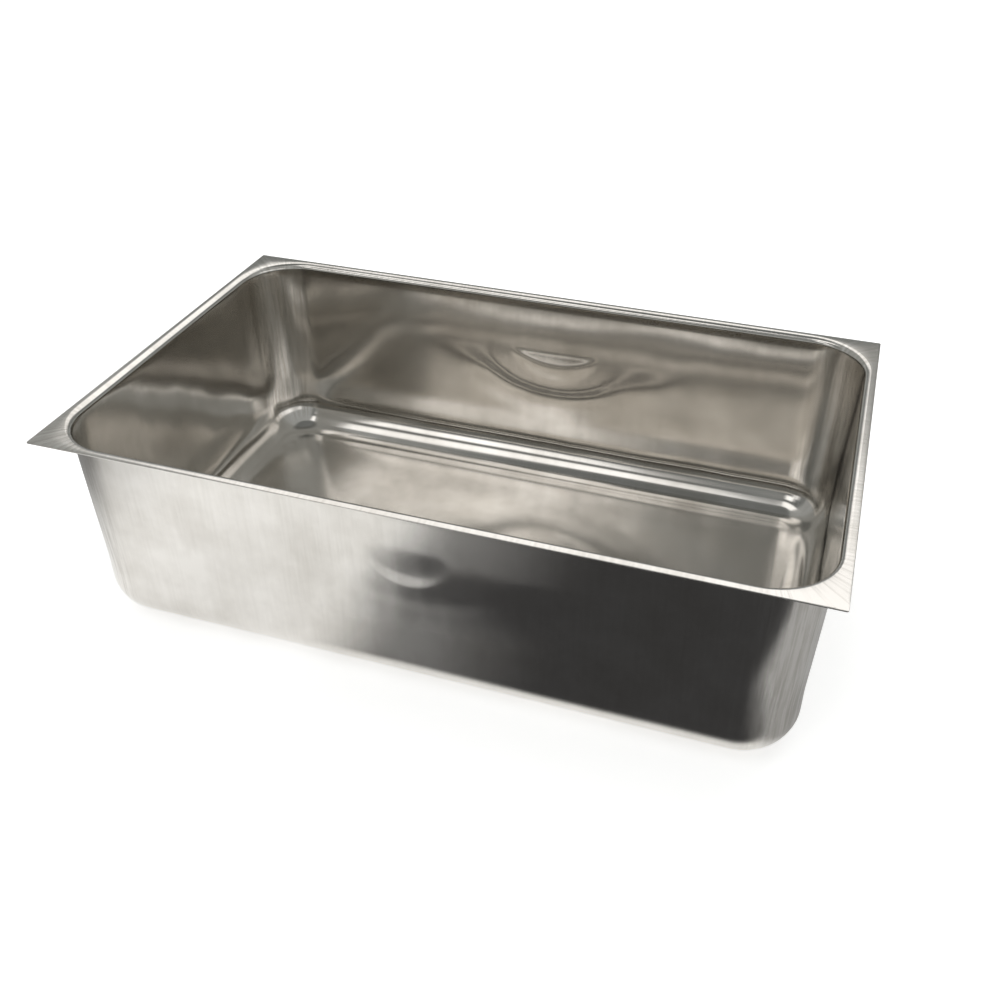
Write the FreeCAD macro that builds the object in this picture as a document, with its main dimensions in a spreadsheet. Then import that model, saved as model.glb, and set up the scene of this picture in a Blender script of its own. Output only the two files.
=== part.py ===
import FreeCAD, Part
import Sketcher
import math
import os

# A full-size deep food pan, deep-drawn in one piece from stainless sheet.
# Origin: centre of the underside. +Z is up and +X runs along the long side.
# The metal is an outer form less a cavity form. Both are a plate with a drafted plug under it,
# one sheet thickness apart, and both are dented by the same two half-moon ledges.

SIZES = [
    ("flange_length", 527.0, "flange, edge to edge, long way"),
    ("flange_width", 324.0, "flange, edge to edge, short way"),
    ("flange_corner", 1.2, "radius of the trimmed flange corners"),
    ("pan_depth", 156.0, "flange top to underside"),
    ("gauge", 0.9, "sheet thickness"),
    ("lip", 8.5, "flange edge to the inner wall face, at the flange top"),
    ("draft", 2.0, "lean of the walls, degrees"),
    ("mouth_corner", 42.0, "upright corner radius inside the mouth"),
    ("flange_bend", 4.8, "inner bend radius from flange to wall"),
    ("cove", 28.0, "outer radius from wall to bottom"),
    ("mouth_cap", 6.0, "height of the cavity form above the flange"),
    ("ledge_lean", 7.0, "lean of both ledge faces from upright, degrees"),
    ("rear_ledge_x", 9.0, "middle of the rear ledge"),
    ("rear_ledge_drop", 47.5, "flange top to its straight edge"),
    ("rear_ledge_half", 38.0, "half its straight edge"),
    ("rear_ledge_out", 397.0, "its punch ball's centre, outside the inner wall face"),
    ("front_ledge_x", 1.0, "middle of the front ledge"),
    ("front_ledge_drop", 35.0, "flange top to its straight edge"),
    ("front_ledge_half", 29.0, "half its straight edge"),
    ("front_ledge_out", 141.0, "its punch ball's centre, outside the inner wall face"),
]
SIZE = {alias: value for alias, value, note in SIZES}
V = FreeCAD.Vector

doc = FreeCAD.newDocument("food_pan")
sheet = doc.addObject("Spreadsheet::Sheet", "sizes")
for row, (alias, value, note) in enumerate(SIZES, start=1):
    sheet.set("A%d" % row, alias)
    sheet.set("B%d" % row, str(value))
    sheet.set("C%d" % row, note)
    sheet.setAlias("B%d" % row, alias)
doc.recompute()


def base_plane(body):
    """The body's own XY plane."""
    return [plane for plane in body.Origin.OriginFeatures if plane.Role == "XY_Plane"][0]


def rounded_outline(body, name, length, width, corner):
    """A sketch of a rectangle with round corners, centred on the axis; sizes are expressions."""
    sketch = body.newObject("Sketcher::SketchObject", name)
    sketch.AttachmentSupport = [(base_plane(body), "")]
    sketch.MapMode = "FlatFace"
    sketch.setExpression("AttachmentOffset.Base.z", "sizes.pan_depth")
    x = SIZE["flange_length"] / 2
    y = SIZE["flange_width"] / 2
    r = SIZE["mouth_corner"]
    front = sketch.addGeometry(Part.LineSegment(V(-x + r, -y, 0), V(x - r, -y, 0)))
    right = sketch.addGeometry(Part.LineSegment(V(x, -y + r, 0), V(x, y - r, 0)))
    rear = sketch.addGeometry(Part.LineSegment(V(x - r, y, 0), V(-x + r, y, 0)))
    left = sketch.addGeometry(Part.LineSegment(V(-x, y - r, 0), V(-x, -y + r, 0)))
    corners = []
    for side_x, side_y, start in ((1, -1, 270), (1, 1, 0), (-1, 1, 90), (-1, -1, 180)):
        circle = Part.Circle(V(side_x * (x - r), side_y * (y - r), 0), V(0, 0, 1), r)
        turn = math.radians(start)
        corners.append(sketch.addGeometry(Part.ArcOfCircle(circle, turn, turn + math.pi / 2)))
    loop = [front, corners[0], right, corners[1], rear, corners[2], left, corners[3]]
    for here, after in zip(loop, loop[1:] + loop[:1]):
        sketch.addConstraint(Sketcher.Constraint("Tangent", here, 2, after, 1))
    for line in (front, rear):
        sketch.addConstraint(Sketcher.Constraint("Horizontal", line))
    for line in (left, right):
        sketch.addConstraint(Sketcher.Constraint("Vertical", line))
    for arc in corners[1:]:
        sketch.addConstraint(Sketcher.Constraint("Equal", corners[0], arc))
    sketch.addConstraint(Sketcher.Constraint("Symmetric", corners[0], 3, corners[2], 3, -1, 1))
    for word, kind, picks, value, size in (
        ("length", "DistanceX", (left, 1, right, 1), 2 * x, length),
        ("width", "DistanceY", (front, 1, rear, 1), 2 * y, width),
        ("corner", "Radius", (corners[0],), r, corner),
    ):
        index = sketch.addConstraint(Sketcher.Constraint(kind, *picks, value))
        sketch.renameConstraint(index, word)
        sketch.setExpression("Constraints." + word, size)
    return sketch


def edges_at(shape, height):
    """Names of the level edges at a height that lie inside the flange's own outline."""
    names = []
    for index, edge in enumerate(shape.Edges, start=1):
        box = edge.BoundBox
        level = abs(box.ZMin - height) < 0.01 and abs(box.ZMax - height) < 0.01
        inside_x = max(-box.XMin, box.XMax) < SIZE["flange_length"] / 2 - 1
        inside_y = max(-box.YMin, box.YMax) < SIZE["flange_width"] / 2 - 1
        if level and inside_x and inside_y:
            names.append("Edge%d" % index)
    return names


def rounded(body, name, base, edges, radius):
    """A fillet on edges of the feature before it; the radius is an expression."""
    fillet = body.newObject("PartDesign::Fillet", name)
    fillet.Base = (base, edges)
    fillet.setExpression("Radius", radius)
    doc.recompute()
    return fillet


def pressed_ledge(body, form_name, place, side, skin):
    """The half-moon dent in a long wall: a shallow ball cut off by the leaning ledge face.

    place is rear or front, side is 1 for the rear wall and -1 for the front one, and skin is
    the metal between this form and the cavity form."""
    drop, half, out = ["sizes.%s_ledge_%s" % (place, word) for word in ("drop", "half", "out")]
    wall = "(sizes.flange_width / 2 - sizes.lip - %s * tan(sizes.draft * 1 deg))" % drop
    ball_radius = "(sqrt(%s ^ 2 + %s ^ 2) - %s)" % (half, out, skin)
    face_height = "(%s * cos(sizes.ledge_lean * 1 deg) - %s)" % (out, skin)
    ball = body.newObject("PartDesign::SubtractiveSphere", "%s_%s_ledge" % (form_name, place))
    ball.AttachmentSupport = [(base_plane(body), "")]
    ball.MapMode = "FlatFace"
    ball.AttachmentOffset = FreeCAD.Placement(V(0, 0, 0), FreeCAD.Rotation(V(1, 0, 0), 1))
    ball.setExpression("AttachmentOffset.Base.x", "sizes.%s_ledge_x" % place)
    ball.setExpression("AttachmentOffset.Base.y", "%d * (%s + %s)" % (side, wall, out))
    ball.setExpression("AttachmentOffset.Base.z", "sizes.pan_depth - " + drop)
    ball.setExpression("AttachmentOffset.Rotation.Angle", "%d * (90 - sizes.ledge_lean)" % side)
    ball.setExpression("Radius", ball_radius)
    ball.Angle1 = -90
    ball.setExpression("Angle2", "asin(%s / %s)" % (face_height, ball_radius))
    return ball


def form(name, plate, upward, skin):
    """A drafted, dented plug with a plate over it; skin is the metal outside the cavity form."""
    body = doc.addObject("PartDesign::Body", name)
    plug = body.newObject("PartDesign::Pad", name + "_plug")
    plug.Profile = rounded_outline(
        body, name + "_plug_outline",
        "sizes.flange_length - 2 * (sizes.lip - %s)" % skin,
        "sizes.flange_width - 2 * (sizes.lip - %s)" % skin,
        "sizes.mouth_corner + " + skin)
    plug.setExpression("Length", "sizes.pan_depth - sizes.gauge + " + skin)
    plug.setExpression("TaperAngle", "-sizes.draft")
    plug.Reversed = True
    doc.recompute()
    bottom_edges = edges_at(plug.Shape, plug.Shape.BoundBox.ZMin)
    cove = rounded(body, name + "_cove", plug, bottom_edges, "sizes.cove - sizes.gauge + " + skin)
    pressed_ledge(body, name, "rear", 1, skin)
    dented = pressed_ledge(body, name, "front", -1, skin)
    doc.recompute()
    print("%s: the ledges take out %.0f mm3" % (name, cove.Shape.Volume - dented.Shape.Volume))
    slab = body.newObject("PartDesign::Pad", name + "_plate")
    slab.Profile = rounded_outline(
        body, name + "_plate_outline",
        "sizes.flange_length", "sizes.flange_width", "sizes.flange_corner")
    slab.setExpression("Length", plate)
    slab.Reversed = not upward
    doc.recompute()
    underside = SIZE["pan_depth"] if upward else SIZE["pan_depth"] - SIZE["gauge"]
    neck_edges = edges_at(slab.Shape, underside)
    body.Tip = rounded(body, name + "_neck", slab, neck_edges, "sizes.flange_bend - " + skin)
    return body


GAUGE = "sizes.gauge"
NONE = "0"
outer_form = form("outer_form", GAUGE, False, GAUGE)
cavity_form = form("cavity_form", "sizes.mouth_cap", True, NONE)

pan = doc.addObject("Part::Cut", "drawn_pan")
pan.Base = outer_form
pan.Tool = cavity_form
pan.Label = "drawn_pan"
doc.recompute()

for item in doc.Objects:
    if "Invalid" in item.State or "Error" in item.State:
        raise RuntimeError("%s failed: %s" % (item.Label, item.State))

shape = pan.Shape
if shape.isNull() or not shape.isValid() or len(shape.Solids) != 1:
    raise RuntimeError("%s is not one valid solid" % pan.Label)
os.makedirs("parts", exist_ok=True)
shape.exportStep("parts/%s.step" % pan.Label)
box = shape.optimalBoundingBox(False)
print("%s: %.1f x %.1f x %.1f mm, %.0f mm3" % (
    pan.Label, box.XLength, box.YLength, box.ZLength, shape.Volume))
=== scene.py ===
import math

import bmesh
import bpy
from mathutils import Matrix, Vector, noise


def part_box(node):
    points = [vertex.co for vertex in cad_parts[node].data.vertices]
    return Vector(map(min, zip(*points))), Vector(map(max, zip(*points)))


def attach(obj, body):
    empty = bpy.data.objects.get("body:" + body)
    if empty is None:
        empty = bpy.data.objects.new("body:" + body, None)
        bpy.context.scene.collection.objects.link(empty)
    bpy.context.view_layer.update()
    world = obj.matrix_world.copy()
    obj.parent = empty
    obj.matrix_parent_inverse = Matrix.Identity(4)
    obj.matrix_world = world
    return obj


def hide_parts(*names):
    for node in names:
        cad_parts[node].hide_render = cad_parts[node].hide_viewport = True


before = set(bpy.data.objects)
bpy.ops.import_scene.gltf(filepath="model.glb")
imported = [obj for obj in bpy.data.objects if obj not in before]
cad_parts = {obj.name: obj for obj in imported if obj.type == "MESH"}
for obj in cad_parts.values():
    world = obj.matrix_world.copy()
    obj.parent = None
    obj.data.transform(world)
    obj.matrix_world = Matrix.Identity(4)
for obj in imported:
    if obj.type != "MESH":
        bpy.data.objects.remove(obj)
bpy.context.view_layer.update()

bl_info = {
    "name": "Deli food pan",
    "version": (1, 0, 0),
    "blender": (4, 5, 0),
    "location": "3D View > Sidebar > Food Pan",
    "description": "A deep food pan drawn in one piece from stainless sheet, with its studio",
    "category": "Object",
}

# Lengths are in metres, or in millimetres where a comment says so. The origin is the centre of
# the underside, +Z is up, +X runs along the long side and the front long wall is at -Y.
MM = 0.001
PAN_LOW, PAN_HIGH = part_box("drawn_pan")
PAN_SPAN = PAN_HIGH - PAN_LOW

DOWN_LAYER = "draw_depth"         # metres down the sheet from the flange, while it is made
PATH_ATTRIBUTE = "draw_path"      # where the sheet crossed the die: mouth x, mouth y, depth
AROUND_ATTRIBUTE = "draw_around"  # level unit vector along the mouth, across the draw
MARKS_ATTRIBUTE = "draw_marks"    # how strongly the die marked the sheet there


def hex_linear(code):
    """An sRGB hex colour as three linear numbers."""
    values = [int(code[i:i + 2], 16) / 255 for i in (0, 2, 4)]
    return tuple(v / 12.92 if v <= 0.04045 else ((v + 0.055) / 1.055) ** 2.4 for v in values)


def blended_least(a, b, width):
    """The lesser of two heights, with a round of about that width where they cross."""
    near = max(width - abs(a - b), 0.0) / width
    return min(a, b) - near * near * width / 4


def blended_most(a, b, width):
    """The greater of two heights, rounded in the same way."""
    return -blended_least(-a, -b, width)


def smooth_step(low, high, value):
    """0 below low, 1 above high and a smooth rise between them."""
    t = min(max((value - low) / (high - low), 0.0), 1.0)
    return t * t * (3 - 2 * t)


# ---- sizes ------------------------------------------------------------------------------------

def length_property(name, description, millimetres):
    """A length setting, kept in metres."""
    return bpy.props.FloatProperty(
        name=name, description=description, default=millimetres * MM,
        min=0.0, unit="LENGTH", subtype="DISTANCE", precision=4)


def angle_property(name, description, degrees):
    """An angle setting, kept in radians."""
    return bpy.props.FloatProperty(
        name=name, description=description, default=math.radians(degrees),
        unit="ROTATION", subtype="ANGLE")


def colour_property(name, description, code):
    """A colour setting whose default is an sRGB hex colour."""
    return bpy.props.FloatVectorProperty(
        name=name, description=description, default=hex_linear(code),
        size=3, min=0.0, max=1.0, subtype="COLOR")


class FoodPanLedge(bpy.types.PropertyGroup):
    """One half-moon ledge pressed into a long wall, and the arc that the wall springs in along."""
    middle: length_property("Middle", "Place of the ledge along the wall, from its centre", 0)
    drop: length_property("Drop", "Flange top to the ledge's straight edge", 40)
    half: length_property("Half width", "Half of the straight edge", 30)
    out: length_property("Ball set-out", "Centre of the punch ball, outside the inner wall", 100)
    nose: length_property("Nose", "How softly the ledge's nose is rounded", 1)
    step: length_property("Step", "How far the wall springs in along an arc under the ledge", 1)
    step_wide: length_property("Step width", "Middle of the ledge to the ends of the arc", 80)
    step_drop: length_property("Step drop", "Straight edge to the lowest place of the arc", 45)


class FoodPanSizes(bpy.types.PropertyGroup):
    """Sizes of the drawn sheet."""
    flange_length: length_property("Length", "Flange, edge to edge, long way", PAN_SPAN.x / MM)
    flange_width: length_property("Width", "Flange, edge to edge, short way", PAN_SPAN.y / MM)
    depth: length_property("Depth", "Flange top to underside", PAN_SPAN.z / MM)
    gauge: length_property("Gauge", "Thickness of the sheet", 0.9)
    lip: length_property("Lip", "Flange edge to the inner wall, at the flange top", 8.5)
    flange_corner: length_property("Flange corner", "Radius of the trimmed corners", 1.2)
    mouth_corner: length_property("Mouth corner", "Upright corner radius inside the mouth", 42)
    flange_bend: length_property("Flange bend", "Inner bend radius from flange to wall", 4.8)
    cove: length_property("Cove", "Inner radius from wall to floor", 27.1)
    draft: angle_property("Draft", "Lean of the walls from upright", 2)
    ledge_lean: angle_property("Ledge lean", "Lean of both ledge faces from upright", 7)
    droop: length_property("Droop", "How far the flange's edge hangs below its root", 0.303)
    wave: length_property("Wave", "How far the pressed sheet strays from flat", 0.3)
    flute: length_property("Flutes", "Depth of the upright folds pressed out of the walls", 0.55)
    foot: length_property("Foot", "How far the walls spring out just above the cove", 0.9)
    rear_ledge: bpy.props.PointerProperty(
        name="Rear ledge", description="Ledge in the rear long wall", type=FoodPanLedge)
    front_ledge: bpy.props.PointerProperty(
        name="Front ledge", description="Ledge in the front long wall", type=FoodPanLedge)


class FoodPanFinish(bpy.types.PropertyGroup):
    """Look of the metal."""
    steel: colour_property("Steel", "Colour of the clean metal", "DCD9D4")
    steel_shade: colour_property("Steel shade", "Colour of the more worked metal", "BDB9B2")
    roughness: bpy.props.FloatProperty(
        name="Roughness", description="How far the satin surface blurs what it reflects",
        default=0.12, min=0.0, max=1.0)
    floor_haze: bpy.props.FloatProperty(
        name="Floor haze", description="Roughness that the undrawn floor has on top of that",
        default=0.06, min=0.0, max=1.0)
    mark_pitch: length_property("Mark pitch", "Distance between the fine draw marks", 2.2)
    mark_depth: length_property("Mark depth", "Depth of the fine marks, at their deepest", 0.06)


class FoodPanStudio(bpy.types.PropertyGroup):
    """Light and floor of the studio."""
    floor_colour: colour_property("Floor", "Colour of the matt floor", "F2F2F2")
    tent_colour: colour_property("Tent", "Colour of the lit cloth of the tent", "FFFEFD")
    unlit_colour: colour_property("Unlit tent", "Colour of the tent's unlit parts", "F2F8F6")
    flag_colour: colour_property("Flags", "Colour of the dark cards on the floor", "3F3F40")
    tent_level: bpy.props.FloatProperty(
        name="Tent level", description="Radiance of the tent between its soft boxes",
        default=0.45, min=0.0)
    floor_glow: bpy.props.FloatProperty(
        name="Floor glow", description="Light that the floor gives off by itself",
        default=0.58, min=0.0)
    overhead_power: bpy.props.FloatProperty(
        name="Overhead light", description="Power in watts of the light over the pan",
        default=16.0, min=0.0)
    soften: bpy.props.FloatProperty(
        name="Soft edge", description="Half width of every soft box's edge, in degrees",
        default=2.8, min=0.1)


LEDGE_FIELDS = ("middle", "drop", "half", "out", "nose", "step", "step_wide", "step_drop")
LEDGES = {  # the fields above, in millimetres
    "rear_ledge": (9.0, 47.5, 38.0, 397.0, 0.6, 0.88, 64.0, 37.0),
    "front_ledge": (1.0, 35.0, 29.0, 141.0, 2.4, 0.35, 76.0, 42.0),
}


def set_ledges(sizes):
    """Gives the two ledges their own sizes, which differ."""
    for place, values in LEDGES.items():
        ledge = getattr(sizes, place)
        for field, value in zip(LEDGE_FIELDS, values):
            setattr(ledge, field, value * MM)


# ---- the drawn sheet --------------------------------------------------------------------------

# Rows of vertices. They are closest together where the ledges are.
WALL_ROWS = ((122.25, 5), (88.5, 27), (68.5, 8))  # mm above the underside, and cuts down to it
WALL_FOOT_CUTS = 14                  # from the last of those heights to the cove
BEND_STEPS = 8
COVE_STEPS = 16
CORNER_STEPS = 16
FLOOR_STEPS = 3                      # from the cove to the corner's axis
LONG_CUTS = ((50.0, 26), (0.0, 34))  # x in mm reached from the corner, and cuts on the way there
SHORT_CUTS = ((0.0, 16),)            # the same for y
FLANGE_ROWS = ((0.45, 0.193), (0.88, 0.571), (1.0, 1.0))  # share of the way out, and of the droop

WELD = 0.001 * MM  # vertices nearer than this are one
NEAR = 0.01 * MM   # places nearer than this count as the same


def corner_axis(sizes):
    """Place of the upright axis that the first-quadrant corner turns about."""
    inset = sizes.lip + sizes.mouth_corner
    return Vector((sizes.flange_length / 2 - inset, sizes.flange_width / 2 - inset, 0))


def between_axes(point, axis):
    """The nearest place, at the same height, in the oblong between the four corner axes."""
    return Vector((min(max(point.x, -axis.x), axis.x), min(max(point.y, -axis.y), axis.y), point.z))


def bend_start(sizes):
    """Distance from the corner axis to where the flange turns down into its bend."""
    tangent_length = sizes.flange_bend * (1 / math.cos(sizes.draft) - math.tan(sizes.draft))
    return sizes.mouth_corner + tangent_length


def grow_chain(bm, start, end, cuts, layer):
    """Extrudes a chain of edges from a vertex to a point and returns its last vertex."""
    first = start.co.copy()
    depth = start[layer]
    last = start
    for cut in range(1, cuts + 1):
        last = bmesh.ops.extrude_vert_indiv(bm, verts=[last])["verts"][0]
        last.co = first.lerp(end, cut / cuts)
        last[layer] = depth + (last.co - first).length
    return last


def turn_chain(bm, start, centre, angle, steps, layer):
    """Spins a vertex about a level axis into an arc of edges and returns its last vertex."""
    before = set(bm.verts)
    spun = bmesh.ops.spin(bm, geom=[start], cent=centre, axis=(1, 0, 0), dvec=(0, 0, 0),
                          angle=angle, steps=steps, use_duplicate=False)
    radius = (start.co - centre).length
    arm = start.co - centre
    for vert in set(bm.verts) - before:
        vert[layer] = start[layer] + radius * arm.angle(vert.co - centre)
    return [item for item in spun["geom_last"] if isinstance(item, bmesh.types.BMVert)][0]


def sheet_section(bm, sizes, layer):
    """The inner face of the sheet in section, from the flange bend down to the corner axis."""
    axis = corner_axis(sizes)
    tilt = math.tan(sizes.draft)
    cosine = math.cos(sizes.draft)
    sweep = math.pi / 2 - sizes.draft

    def point(reach, height):
        return Vector((axis.x, axis.y + reach, height))

    def wall_reach(height):
        return sizes.mouth_corner + (height - sizes.depth) * tilt

    bend_centre = point(bend_start(sizes), sizes.depth - sizes.flange_bend)
    cove_height = sizes.gauge + sizes.cove
    cove_centre = point(wall_reach(cove_height) - sizes.cove / cosine, cove_height)

    last = bm.verts.new(bend_centre + Vector((0, 0, sizes.flange_bend)))
    last = turn_chain(bm, last, bend_centre, sweep, BEND_STEPS, layer)
    for height, cuts in WALL_ROWS:
        last = grow_chain(bm, last, point(wall_reach(height * MM), height * MM), cuts, layer)
    foot = cove_height - sizes.cove * math.sin(sizes.draft)
    last = grow_chain(bm, last, point(wall_reach(foot), foot), WALL_FOOT_CUTS, layer)
    last = turn_chain(bm, last, cove_centre, -sweep, COVE_STEPS, layer)
    grow_chain(bm, last, point(0, sizes.gauge), FLOOR_STEPS, layer)
    return bm.edges[:]


def run_edges(bm, edges, direction, start, cuts):
    """Extrudes edges along an axis through (place reached, cuts) pairs, and returns the last."""
    place = start
    for reached, count in cuts:
        step = direction * (place - reached * MM) / count
        place = reached * MM
        for _ in range(count):
            grown = bmesh.ops.extrude_edge_only(bm, edges=edges)["geom"]
            verts = [item for item in grown if isinstance(item, bmesh.types.BMVert)]
            edges = [item for item in grown if isinstance(item, bmesh.types.BMEdge)]
            bmesh.ops.translate(bm, verts=verts, vec=step)
    return edges


def quarter_pan(bm, sizes, layer):
    """Sweeps the section round one corner and half-way along both walls, and fills the floor."""
    axis = corner_axis(sizes)
    section = sheet_section(bm, sizes, layer)
    spun = bmesh.ops.spin(bm, geom=section, cent=axis, axis=(0, 0, 1), dvec=(0, 0, 0),
                          angle=-math.pi / 2, steps=CORNER_STEPS, use_duplicate=False)
    side = [item for item in spun["geom_last"] if isinstance(item, bmesh.types.BMEdge)]
    run_edges(bm, section, Vector((-1, 0, 0)), axis.x, LONG_CUTS)
    run_edges(bm, side, Vector((0, -1, 0)), axis.y, SHORT_CUTS)

    def beside_floor(vert):
        """True along the floor's long edge, which runs through the corner's axis."""
        level = abs(vert.co.z - sizes.gauge) < NEAR
        return level and abs(vert.co.y - axis.y) < NEAR and vert.co.x < axis.x + NEAR

    middle = [edge for edge in bm.edges
              if all(beside_floor(vert) for vert in edge.verts) and edge.calc_length() > NEAR]
    run_edges(bm, middle, Vector((0, -1, 0)), axis.y, SHORT_CUTS)
    bmesh.ops.remove_doubles(bm, verts=bm.verts[:], dist=WELD)


def whole_sheet(bm):
    """Mirrors the quarter across both middle planes."""
    for side in ("X", "Y"):
        bmesh.ops.mirror(bm, geom=bm.verts[:] + bm.edges[:] + bm.faces[:],
                         matrix=Matrix.Identity(4), merge_dist=WELD, axis=side)
    bmesh.ops.remove_doubles(bm, verts=bm.verts[:], dist=WELD)


def spread_flange(bm, sizes):
    """Extrudes the bend's outer ring out to the flange's straight-sided edge."""
    axis = corner_axis(sizes)
    reach = sizes.lip + sizes.mouth_corner
    for way_out, hang in FLANGE_ROWS:
        ring = [edge for edge in bm.edges if edge.is_boundary]
        grown = bmesh.ops.extrude_edge_only(bm, edges=ring)["geom"]
        for vert in [item for item in grown if isinstance(item, bmesh.types.BMVert)]:
            base = between_axes(vert.co, axis)
            arm = vert.co - base
            start = base + arm.normalized() * bend_start(sizes)
            edge_point = base + arm * (reach / max(abs(arm.x), abs(arm.y)))
            vert.co = start.lerp(edge_point, way_out)
            vert.co.z = sizes.depth - sizes.droop * hang


# The arc that the wall springs in along under a ledge. Its places are shares of the distance
# from the ledge's middle to the arc.
ARC_START = 0.86
ARC_CREST = 1.14
ARC_END = 1.75
ARC_FADE = 26 * MM   # depth below the ledge's straight edge over which the spring sets in
DENT_REACH = 1.3     # how far from its middle a ledge can reach, in half widths
HEEL_ROUND = 0.4     # round where the dent leaves the wall, as a share of the nose's


def press_ledges(bm, sizes):
    """Pushes the half-moon ledges into both long walls, and springs the wall in under each."""
    wall_tilt = math.tan(sizes.draft)
    face_tilt = math.tan(sizes.ledge_lean)
    wall_side = corner_axis(sizes).y
    for place, side in (("rear_ledge", 1), ("front_ledge", -1)):
        ledge = getattr(sizes, place)
        ball = ledge.out ** 2 + ledge.half ** 2
        for vert in bm.verts:
            x, y, z = vert.co
            across = x - ledge.middle
            above = z - (sizes.depth - ledge.drop)
            if y * side < wall_side:
                continue
            arc = math.hypot(across / ledge.step_wide, above / ledge.step_drop)
            spring = smooth_step(ARC_START, ARC_CREST, arc) - smooth_step(ARC_CREST, ARC_END, arc)
            vert.co.y -= side * ledge.step * spring * smooth_step(0, ARC_FADE, -above)
            spread = across ** 2 + above ** 2
            if spread > (DENT_REACH * ledge.half) ** 2:
                continue
            wall = -above * wall_tilt
            face = -above * face_tilt
            dent = blended_least(math.sqrt(ball - spread) - ledge.out, face, ledge.nose)
            vert.co.y -= side * (blended_most(wall, dent, HEEL_ROUND * ledge.nose) - wall)


# How the sheet strays from true.
SLOW_WAVE = 95 * MM               # length of the long waves
QUICK_WAVE = 38 * MM              # length of the short waves that ride on them
QUICK_SHARE = 0.22                # height of the short waves, as a share of the long ones'
QUICK_SHIFT = Vector((1, 2, 0))   # keeps the short waves from following the long ones
FOLD_PITCH = 23 * MM              # along the mouth, between the walls' upright folds
FINE_FOLD_PITCH = 11 * MM
FINE_FOLD_SHARE = 0.5             # depth of the fine folds, as a share of the others'
FOLD_CHANGE = 0.15                # how much a fold changes on its way down the wall
FOLD_FADE = 80 * MM               # depth below the flange where the folds are full
LONG_WALL_FOLDS = 0.3             # folds of the long walls, as a share of the short walls'
SHORT_WALL_FACING = 0.8           # how far a wall faces along X where its folds are full
TOP_FADE = (5 * MM, 30 * MM)      # depths below the flange over which the straying sets in
COVE_FADE = (8 * MM, 30 * MM)     # heights over which it dies away in the cove
FOOT_FADE = (26 * MM, 52 * MM)    # heights over which the foot gives way to the plain wall
FLOOR_TOP = 3 * MM                # the floor lies below this height
FLOOR_FADE = 70 * MM              # distance in from its edge where the floor's rise is full


def wave_sheet(bm, sizes, layer):
    """Lets the walls and the floor stray a little from true, as a pressed sheet does.

    The floor only rises, so the pan still stands on the rim of its underside."""
    axis = corner_axis(sizes)
    for vert in bm.verts:
        x, y, z = vert.co
        slow = noise.noise(vert.co / SLOW_WAVE)
        quick = noise.noise((vert.co + QUICK_SHIFT) / QUICK_WAVE)
        height = sizes.wave * (slow + QUICK_SHARE * quick)
        base = between_axes(vert.co, axis)
        arm = vert.co - base
        if arm.length > MM:
            out = arm.normalized()
            mouth = base + out * sizes.mouth_corner
            mouth.z = FOLD_CHANGE * z
            fold = noise.noise(mouth / FOLD_PITCH)
            fold += FINE_FOLD_SHARE * noise.noise(mouth / FINE_FOLD_PITCH)
            facing = smooth_step(0, SHORT_WALL_FACING, abs(out.x))
            fold *= LONG_WALL_FOLDS + (1 - LONG_WALL_FOLDS) * facing
            fold *= smooth_step(0, FOLD_FADE, vert[layer])
            foot = 1 - smooth_step(*FOOT_FADE, z)
            on_wall = smooth_step(*TOP_FADE, vert[layer]) * smooth_step(*COVE_FADE, z)
            vert.co += out * (on_wall * (height + sizes.flute * fold + sizes.foot * foot))
        if z < FLOOR_TOP:
            in_from_edge = min(axis.x - abs(x), axis.y - abs(y))
            vert.co.z += (sizes.wave + height) / 2 * smooth_step(0, FLOOR_FADE, in_from_edge)


# How strongly the die marks the sheet. WALL_MARKS holds everywhere and the others add to it,
# and on the flange FLANGE_CORNER_MARKS takes the place of CORNER_MARKS.
WALL_MARKS = 0.14
SHORT_WALL_MARKS = 0.16
FLANGE_MARKS = 0.2
CORNER_MARKS = 0.86
FLANGE_CORNER_MARKS = 0.36
CORNER_FULL = 0.4               # how far into a corner its marks are full, on a scale of 0 to 1
MARKS_FOOT = (2 * MM, 26 * MM)  # heights over which the marks set in above the floor
FLANGE_END = (2 * MM, 9 * MM)   # depths over which the flange's marks give way to the wall's


def note_draw(mesh, sizes, depths):
    """Stores where each point of the sheet crossed the die and how strongly it was marked."""
    axis = corner_axis(sizes)
    paths = []
    arounds = []
    marks = []
    for vert, depth in zip(mesh.vertices, depths):
        base = between_axes(vert.co, axis).xy
        arm = vert.co.xy - base
        mouth = base
        around = Vector((1, 0))
        in_corner = 0.0
        if arm.length > NEAR:
            mouth = base + arm.normalized() * sizes.mouth_corner
            around = arm.normalized().orthogonal()
            in_corner = min(abs(arm.x), abs(arm.y)) / max(abs(arm.x), abs(arm.y))
        paths.extend((mouth.x, mouth.y, depth))
        arounds.extend((around.x, around.y, 0))
        on_flange = 1 - smooth_step(*FLANGE_END, depth)
        short_wall = (1 - on_flange) if abs(arm.x) > abs(arm.y) else 0.0
        corner_marks = CORNER_MARKS + (FLANGE_CORNER_MARKS - CORNER_MARKS) * on_flange
        mark = WALL_MARKS + SHORT_WALL_MARKS * short_wall + FLANGE_MARKS * on_flange
        mark += corner_marks * smooth_step(0, CORNER_FULL, in_corner)
        marks.append(mark * smooth_step(*MARKS_FOOT, vert.co.z))
    for name, kind, field, values in (
        (PATH_ATTRIBUTE, "FLOAT_VECTOR", "vector", paths),
        (AROUND_ATTRIBUTE, "FLOAT_VECTOR", "vector", arounds),
        (MARKS_ATTRIBUTE, "FLOAT", "value", marks),
    ):
        mesh.attributes.new(name, kind, "POINT").data.foreach_set(field, values)


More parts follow.
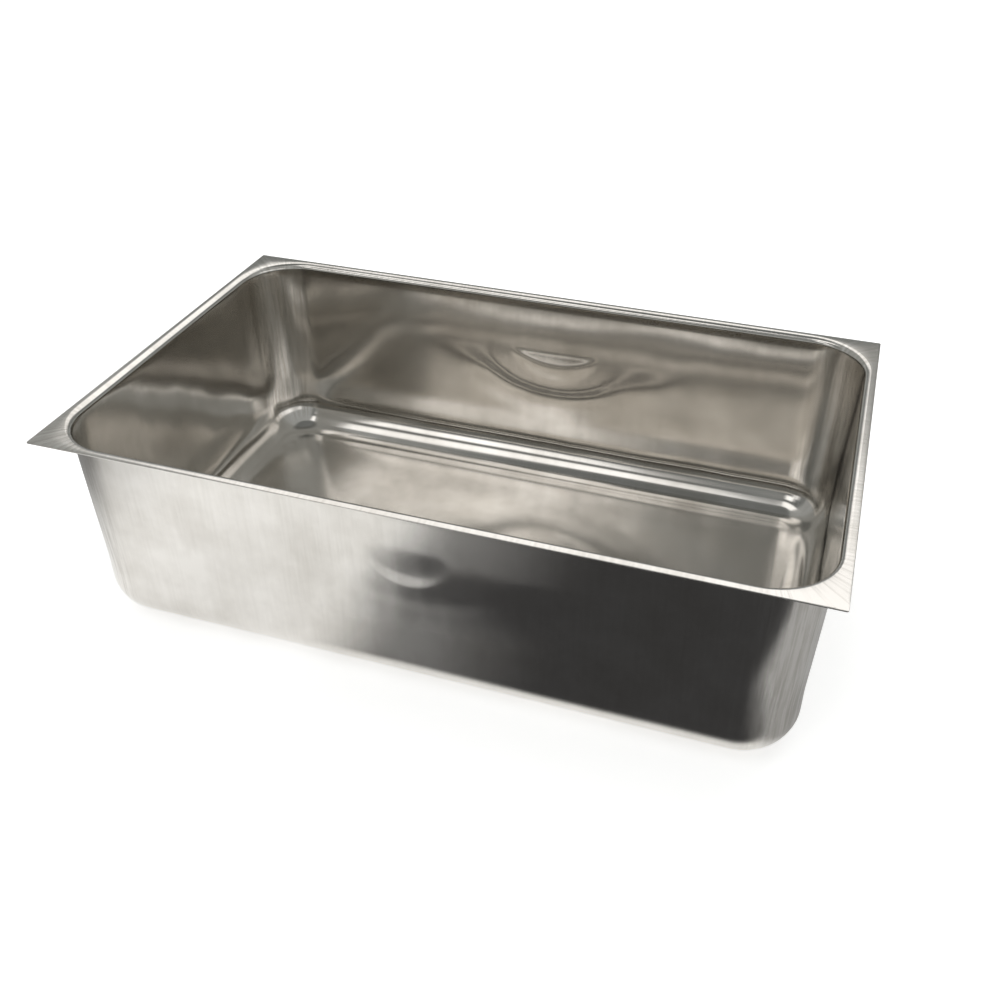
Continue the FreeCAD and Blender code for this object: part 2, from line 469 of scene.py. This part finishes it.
RIM_ZONE = 0.1 * MM          # depth in from the flange's outline where the rim's corners lie
FLANGE_CORNER_STEPS = 5
RIM_ROUND = 0.18 * MM        # round along the cut edge of the sheet
RIM_STEPS = 2
SHARP = math.radians(60)     # edges bent further than this are cut edges


def trim_rim(bm, sizes):
    """Rounds the flange's cut corners and takes the sharpness off its edge."""
    half = Vector((sizes.flange_length / 2, sizes.flange_width / 2))
    uprights = [
        edge for edge in bm.edges
        if all(abs(vert.co.x) > half.x - RIM_ZONE and abs(vert.co.y) > half.y - RIM_ZONE
               for vert in edge.verts)]
    bmesh.ops.bevel(bm, geom=uprights, offset=sizes.flange_corner, segments=FLANGE_CORNER_STEPS,
                    affect="EDGES", profile=0.5, material=-1)
    sharp = [edge for edge in bm.edges if edge.is_manifold and edge.calc_face_angle() > SHARP]
    bmesh.ops.bevel(bm, geom=sharp, offset=RIM_ROUND, segments=RIM_STEPS, affect="EDGES",
                    profile=0.5, material=-1)


def make_pan(sizes):
    """The whole pan: an open sheet, pressed and waved, given its gauge and its trimmed rim."""
    bm = bmesh.new()
    layer = bm.verts.layers.float.new(DOWN_LAYER)
    quarter_pan(bm, sizes, layer)
    whole_sheet(bm)
    spread_flange(bm, sizes)
    press_ledges(bm, sizes)
    wave_sheet(bm, sizes, layer)
    bmesh.ops.recalc_face_normals(bm, faces=bm.faces[:])
    floor = min(bm.faces, key=lambda face: face.calc_center_median().length)
    if floor.normal.z < 0:
        bmesh.ops.reverse_faces(bm, faces=bm.faces[:])
    bmesh.ops.solidify(bm, geom=bm.faces[:], thickness=sizes.gauge)
    trim_rim(bm, sizes)
    for face in bm.faces:
        face.smooth = True
    depths = [vert[layer] for vert in bm.verts]
    bm.verts.layers.float.remove(layer)
    mesh = bpy.data.meshes.new("pan_sheet")
    bm.to_mesh(mesh)
    bm.free()
    note_draw(mesh, sizes, depths)
    pan = bpy.data.objects.new("pan_sheet", mesh)
    bpy.context.scene.collection.objects.link(pan)
    return pan


# ---- nodes ------------------------------------------------------------------------------------

# The Mix node's colour sockets, by their places in its lists.
COLOUR_A = 6
COLOUR_B = 7
COLOUR_OUT = 2


def add_node(tree, kind, settings=(), links=()):
    """Adds a node, sets its fields or sockets by name or number, and links sockets into it."""
    node = tree.nodes.new(kind)
    for name, value in dict(settings).items():
        if isinstance(name, str) and hasattr(node, name):
            setattr(node, name, value)
        else:
            node.inputs[name].default_value = value
    for name, socket in dict(links).items():
        tree.links.new(socket, node.inputs[name])
    return node


def work_out(tree, operation, *values):
    """A sum on sockets or plain numbers; returns the socket of its result."""
    numbers = {}
    sockets = {}
    for place, value in enumerate(values):
        kept = sockets if isinstance(value, bpy.types.NodeSocket) else numbers
        kept[place] = value
    return add_node(
        tree, "ShaderNodeMath", {"operation": operation, **numbers}, sockets).outputs[0]


def smooth_ramp(tree, value, zero_at, one_at):
    """A smooth rise or fall of a socket's value, from 0 at one place to 1 at another."""
    return add_node(
        tree, "ShaderNodeMapRange",
        {"interpolation_type": "SMOOTHSTEP", "From Min": zero_at, "From Max": one_at},
        {"Value": value}).outputs[0]


def mixed_colour(tree, share, first, second):
    """The first colour where share is 0 and the second where it is 1."""
    return add_node(
        tree, "ShaderNodeMix",
        {"data_type": "RGBA", COLOUR_A: (*first, 1), COLOUR_B: (*second, 1)},
        {"Factor": share}).outputs[COLOUR_OUT]


def empty_material(name):
    """A material whose node tree has no nodes yet."""
    material = bpy.data.materials.new(name)
    material.use_nodes = True
    material.node_tree.nodes.clear()
    return material


# ---- the metal --------------------------------------------------------------------------------

FINE_RUN = 45 * MM        # how far a fine draw mark runs down the sheet
BROAD_PITCH = 5           # distance between the broad marks, in mark pitches
BROAD_RUN = 140 * MM
BROAD_DEPTH = 1.6         # depth of the broad marks, in mark depths
CLOUD = 60 * MM           # size of the metal's cloudy patches
CLOUD_ROUGH = 0.12        # roughness that the clouds add or take away
CLOUD_SHADE = 2.0         # how strongly they shade the metal
MARK_ROUGH = 0.12         # roughness of the strongest draw marks
MARK_SHADE = 3.2          # how strongly the marks shade the metal
EVEN_SHADE = 0.30         # share of the shade colour in the plain metal
FLOOR_PATH = (150 * MM, 190 * MM)  # depths down the sheet over which the undrawn floor begins
DRAG = 0.75               # how much reflections are dragged out along the draw, 0 to 1


def drawn_stainless(finish):
    """Stainless sheet with a mill finish, deep-drawn and not polished afterwards.

    A satin mirror: soft reflections, dragged along the way the die pulled the metal, and upright
    draw marks that are strongest in the corners. The floor wasn't drawn and is a little duller."""
    material = empty_material("deep_drawn_mill_stainless")
    tree = material.node_tree

    def pattern(source, pitch, run, detail, seed):
        """Noise whose grains are pitch metres across and run metres down the draw."""
        stretch = add_node(
            tree, "ShaderNodeMapping",
            {"Scale": (1 / pitch, 1 / pitch, 1 / run), "Location": (seed, seed, seed)},
            {"Vector": source})
        return add_node(
            tree, "ShaderNodeTexNoise", {"Scale": 1.0, "Detail": detail, "Roughness": 0.6},
            {"Vector": stretch.outputs["Vector"]}).outputs["Fac"]

    draw = add_node(
        tree, "ShaderNodeAttribute", {"attribute_name": PATH_ATTRIBUTE}).outputs["Vector"]
    around = add_node(
        tree, "ShaderNodeAttribute", {"attribute_name": AROUND_ATTRIBUTE}).outputs["Vector"]
    strength = add_node(
        tree, "ShaderNodeAttribute", {"attribute_name": MARKS_ATTRIBUTE}).outputs["Fac"]
    place = add_node(tree, "ShaderNodeTexCoord").outputs["Object"]

    fine = pattern(draw, finish.mark_pitch, FINE_RUN, 3.0, seed=3.0)
    broad = pattern(draw, BROAD_PITCH * finish.mark_pitch, BROAD_RUN, 2.0, seed=11.0)
    cloud = work_out(tree, "SUBTRACT", pattern(place, CLOUD, CLOUD, 4.0, seed=7.0), 0.5)

    marks = work_out(tree, "MULTIPLY_ADD", broad, BROAD_DEPTH, fine)
    bump = add_node(tree, "ShaderNodeBump", {"Strength": 1.0, "Distance": finish.mark_depth},
                    {"Height": work_out(tree, "MULTIPLY", marks, strength)})

    down = add_node(tree, "ShaderNodeSeparateXYZ", (), {"Vector": draw}).outputs["Z"]
    on_floor = smooth_ramp(tree, down, *FLOOR_PATH)
    marked = work_out(tree, "MULTIPLY", fine, strength)
    rough = work_out(tree, "MULTIPLY_ADD", cloud, CLOUD_ROUGH, finish.roughness)
    rough = work_out(tree, "MULTIPLY_ADD", marked, MARK_ROUGH, rough)
    rough = work_out(tree, "MULTIPLY_ADD", on_floor, finish.floor_haze, rough)

    scored = work_out(tree, "MULTIPLY", work_out(tree, "SUBTRACT", fine, 0.5), strength)
    shade = work_out(tree, "MULTIPLY_ADD", cloud, CLOUD_SHADE, EVEN_SHADE)
    shade = work_out(tree, "MULTIPLY_ADD", scored, MARK_SHADE, shade)
    shader = add_node(
        tree, "ShaderNodeBsdfPrincipled", {"Metallic": 1.0, "Anisotropic": DRAG},
        {"Base Color": mixed_colour(tree, shade, finish.steel, finish.steel_shade),
         "Roughness": rough, "Normal": bump.outputs["Normal"], "Tangent": around})
    add_node(tree, "ShaderNodeOutputMaterial", (), {"Surface": shader.outputs["BSDF"]})
    return material


# ---- the studio -------------------------------------------------------------------------------

# The light tent: its soft boxes and the gaps between them, each laid over those before it.
# Bearing of the left and right sides and height of the lower and upper edges in degrees, and
# radiance. Bearing 0 is behind the pan and 90 is to its right.
TENT = {
    "rear_gap": (-40, 60, 8, 34, 0.27),
    "front_gap": (-180, -120, 14, 75, 0.20),
    "front_high": (-173, -116, 51, 68, 1.60),
    "front_low": (-169, -147, 30, 43, 1.75),
    "front_foot": (-152, -138, 15, 31, 1.30),
    "rear": (-43, 42, 31.5, 62, 1.45),
    "rear_low": (-36, -3, 26, 34, 1.50),
    "right": (88, 122, 16, 29, 1.3),
    "right_front": (132, 145, 14, 30, 1.3),
    "overhead": (-180, 180, 72, 95, 0.20),
}
WHOLE_TURN = 360


def light_tent(studio):
    """The world: a grey tent with soft boxes in it, which the metal reflects."""
    world = bpy.data.worlds.new("light_tent")
    bpy.context.scene.world = world
    world.use_nodes = True
    tree = world.node_tree
    tree.nodes.clear()
    toward = add_node(tree, "ShaderNodeTexCoord").outputs["Generated"]
    parts = add_node(tree, "ShaderNodeSeparateXYZ", (), {"Vector": toward})
    bearing = work_out(tree, "ARCTAN2", parts.outputs["X"], parts.outputs["Y"])
    height = work_out(tree, "ARCSINE", parts.outputs["Z"])

    def soft_edge(angle, degrees, inward):
        """0 outside an edge and 1 inside; inward is 1 if greater angles are inside, or else -1."""
        soft = inward * studio.soften
        return smooth_ramp(tree, angle, math.radians(degrees - soft), math.radians(degrees + soft))

    level = studio.tent_level
    for left, right, low, high, radiance in TENT.values():
        inside = work_out(
            tree, "MULTIPLY", soft_edge(height, low, 1), soft_edge(height, high, -1))
        if right - left < WHOLE_TURN:
            inside = work_out(tree, "MULTIPLY", inside, soft_edge(bearing, left, 1))
            inside = work_out(tree, "MULTIPLY", inside, soft_edge(bearing, right, -1))
        change = work_out(tree, "SUBTRACT", radiance, level)
        level = work_out(tree, "MULTIPLY_ADD", change, inside, level)
    cloth = mixed_colour(tree, level, studio.unlit_colour, studio.tent_colour)
    glow = add_node(tree, "ShaderNodeBackground", (), {"Color": cloth, "Strength": level})
    add_node(tree, "ShaderNodeOutputWorld", (), {"Surface": glow.outputs["Background"]})


def flat_sheet(name, left, right, front, rear, height):
    """A level rectangle in the stage, made from a grid and placed by its edges."""
    bm = bmesh.new()
    bmesh.ops.create_grid(bm, x_segments=1, y_segments=1, size=0.5, calc_uvs=True)
    bmesh.ops.scale(bm, verts=bm.verts[:], vec=(right - left, rear - front, 1))
    bmesh.ops.translate(
        bm, verts=bm.verts[:], vec=((left + right) / 2, (front + rear) / 2, height))
    mesh = bpy.data.meshes.new(name)
    bm.to_mesh(mesh)
    bm.free()
    sheet = bpy.data.objects.new(name, mesh)
    bpy.context.scene.collection.objects.link(sheet)
    return sheet


FLOOR_REACH = 14  # metres from the pan to the floor's edges


def plain_floor(studio):
    """A wide, pale, matt floor that the pan stands on."""
    floor = flat_sheet(
        "studio_floor", -FLOOR_REACH, FLOOR_REACH, -FLOOR_REACH, FLOOR_REACH, height=0)
    material = empty_material("matt_white_board")
    tree = material.node_tree
    colour = (*studio.floor_colour, 1)
    board = add_node(
        tree, "ShaderNodeBsdfPrincipled",
        {"Base Color": colour, "Roughness": 0.9, "Specular IOR Level": 0.2,
         "Emission Color": colour, "Emission Strength": studio.floor_glow})
    add_node(tree, "ShaderNodeOutputMaterial", (), {"Surface": board.outputs["BSDF"]})
    floor.data.materials.append(material)


# Cards lying on the floor: left, right, front and rear edges and the width of the fade at each,
# in millimetres, and how much of the floor they hide.
FLAGS = {
    "half_flag": ((-97, 760, -900, -205), (72, 60, 60, 34), 0.76),
    "half_flag_tongue": ((-97, 285, -270, -150), (72, 60, 12, 20), 0.76),
    "dark_flag": ((-68, 760, -900, -205), (160, 60, 60, 34), 1.0),
    "dark_flag_tongue": ((-68, 285, -270, -150), (160, 60, 12, 20), 1.0),
    "side_flag": ((230, 900, -235, 120), (30, 60, 10, 60), 0.62),
    "left_flag": ((-900, -250, -900, 200), (60, 200, 60, 60), 0.8),
}
FLAG_SIDES = (("X", 1), ("X", -1), ("Y", 1), ("Y", -1))  # axis across each edge, and way inward


def floor_flags(studio):
    """Dark cards on the floor in front and at both sides, which only the metal sees."""
    for rank, (name, (edges, fades, hidden)) in enumerate(FLAGS.items(), start=1):
        left, right, front, rear = [edge * MM for edge in edges]
        flag = flat_sheet(name, left, right, front, rear, rank * MM)
        material = empty_material("dark_velvet_card")
        tree = material.node_tree
        place = add_node(tree, "ShaderNodeTexCoord").outputs["Object"]
        parts = add_node(tree, "ShaderNodeSeparateXYZ", (), {"Vector": place})
        cover = hidden
        for (axis, inward), edge, fade in zip(FLAG_SIDES, edges, fades):
            side = smooth_ramp(tree, parts.outputs[axis], edge * MM, (edge + inward * fade) * MM)
            cover = work_out(tree, "MULTIPLY", side, cover)
        clear = add_node(tree, "ShaderNodeBsdfTransparent")
        dark = add_node(tree, "ShaderNodeEmission", {"Color": (*studio.flag_colour, 1)})
        mix = add_node(tree, "ShaderNodeMixShader", (),
                       {0: cover, 1: clear.outputs[0], 2: dark.outputs[0]})
        add_node(tree, "ShaderNodeOutputMaterial", (), {"Surface": mix.outputs[0]})
        flag.data.materials.append(material)
        flag.visible_camera = False
        flag.visible_diffuse = False
        flag.visible_shadow = False


OVERHEAD_SIDE = 2.6               # metres along each side of the overhead light
OVERHEAD_PLACE = (-0.2, -0.2, 2.2)


def overhead_light(studio):
    """A broad soft light over the pan for the floor; it is kept out of the metal."""
    data = bpy.data.lights.new("overhead_soft_light", "AREA")
    data.shape = "SQUARE"
    data.size = OVERHEAD_SIDE
    data.energy = studio.overhead_power
    light = bpy.data.objects.new("overhead_soft_light", data)
    light.location = OVERHEAD_PLACE
    light.visible_glossy = False
    light.visible_camera = False
    bpy.context.scene.collection.objects.link(light)


CAMERA_LENS = 39.65               # focal length in millimetres
CAMERA_PLACE = (0.22735, -0.64242, 0.54811)
CAMERA_DIP = 35.679               # degrees that it looks down by
CAMERA_TURN = 18.546              # degrees that it is turned left from straight back


def camera():
    """A camera above and to the right of the front, looking down into the pan."""
    data = bpy.data.cameras.new("camera")
    data.lens = CAMERA_LENS
    view = bpy.data.objects.new("camera", data)
    view.location = CAMERA_PLACE
    view.rotation_euler = (math.radians(90 - CAMERA_DIP), 0, math.radians(CAMERA_TURN))
    bpy.context.scene.collection.objects.link(view)
    bpy.context.scene.camera = view


# ---- operators --------------------------------------------------------------------------------

class FOODPAN_OT_sheet(bpy.types.Operator):
    """Makes the pan from its drawn sheet and gives it its metal"""
    bl_idname = "foodpan.sheet"
    bl_label = "Drawn Sheet"

    def execute(self, context):
        sizes = context.scene.food_pan_sizes
        set_ledges(sizes)
        pan = make_pan(sizes)
        pan.data.materials.append(drawn_stainless(context.scene.food_pan_finish))
        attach(pan, "root")
        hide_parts("drawn_pan")
        return {"FINISHED"}


class FOODPAN_OT_studio(bpy.types.Operator):
    """Makes the light tent, the floor, its dark cards, the overhead light and the camera"""
    bl_idname = "foodpan.studio"
    bl_label = "Studio"

    def execute(self, context):
        studio = context.scene.food_pan_studio
        light_tent(studio)
        plain_floor(studio)
        floor_flags(studio)
        overhead_light(studio)
        camera()
        context.scene.view_settings.view_transform = "Standard"
        return {"FINISHED"}


class FOODPAN_PT_build(bpy.types.Panel):
    """Lists the steps that build the pan and its studio"""
    bl_idname = "FOODPAN_PT_build"
    bl_label = "Deli Food Pan"
    bl_space_type = "VIEW_3D"
    bl_region_type = "UI"
    bl_category = "Food Pan"

    def draw(self, context):
        layout = self.layout
        for item in OPERATORS:
            layout.operator(item.bl_idname)


OPERATORS = (FOODPAN_OT_sheet, FOODPAN_OT_studio)
CLASSES = (FoodPanLedge, FoodPanSizes, FoodPanFinish, FoodPanStudio, *OPERATORS, FOODPAN_PT_build)
SETTINGS = {
    "food_pan_sizes": FoodPanSizes,
    "food_pan_finish": FoodPanFinish,
    "food_pan_studio": FoodPanStudio,
}


def register():
    """Adds the classes, and the settings to every scene."""
    for item in CLASSES:
        bpy.utils.register_class(item)
    for name, kind in SETTINGS.items():
        setattr(bpy.types.Scene, name, bpy.props.PointerProperty(type=kind))


def unregister():
    """Takes away what register adds."""
    for name in SETTINGS:
        delattr(bpy.types.Scene, name)
    for item in reversed(CLASSES):
        bpy.utils.unregister_class(item)


def main():
    """Builds the pan and its studio."""
    register()
    bpy.ops.foodpan.sheet()
    bpy.ops.foodpan.studio()


if __name__ == "__main__":
    main()
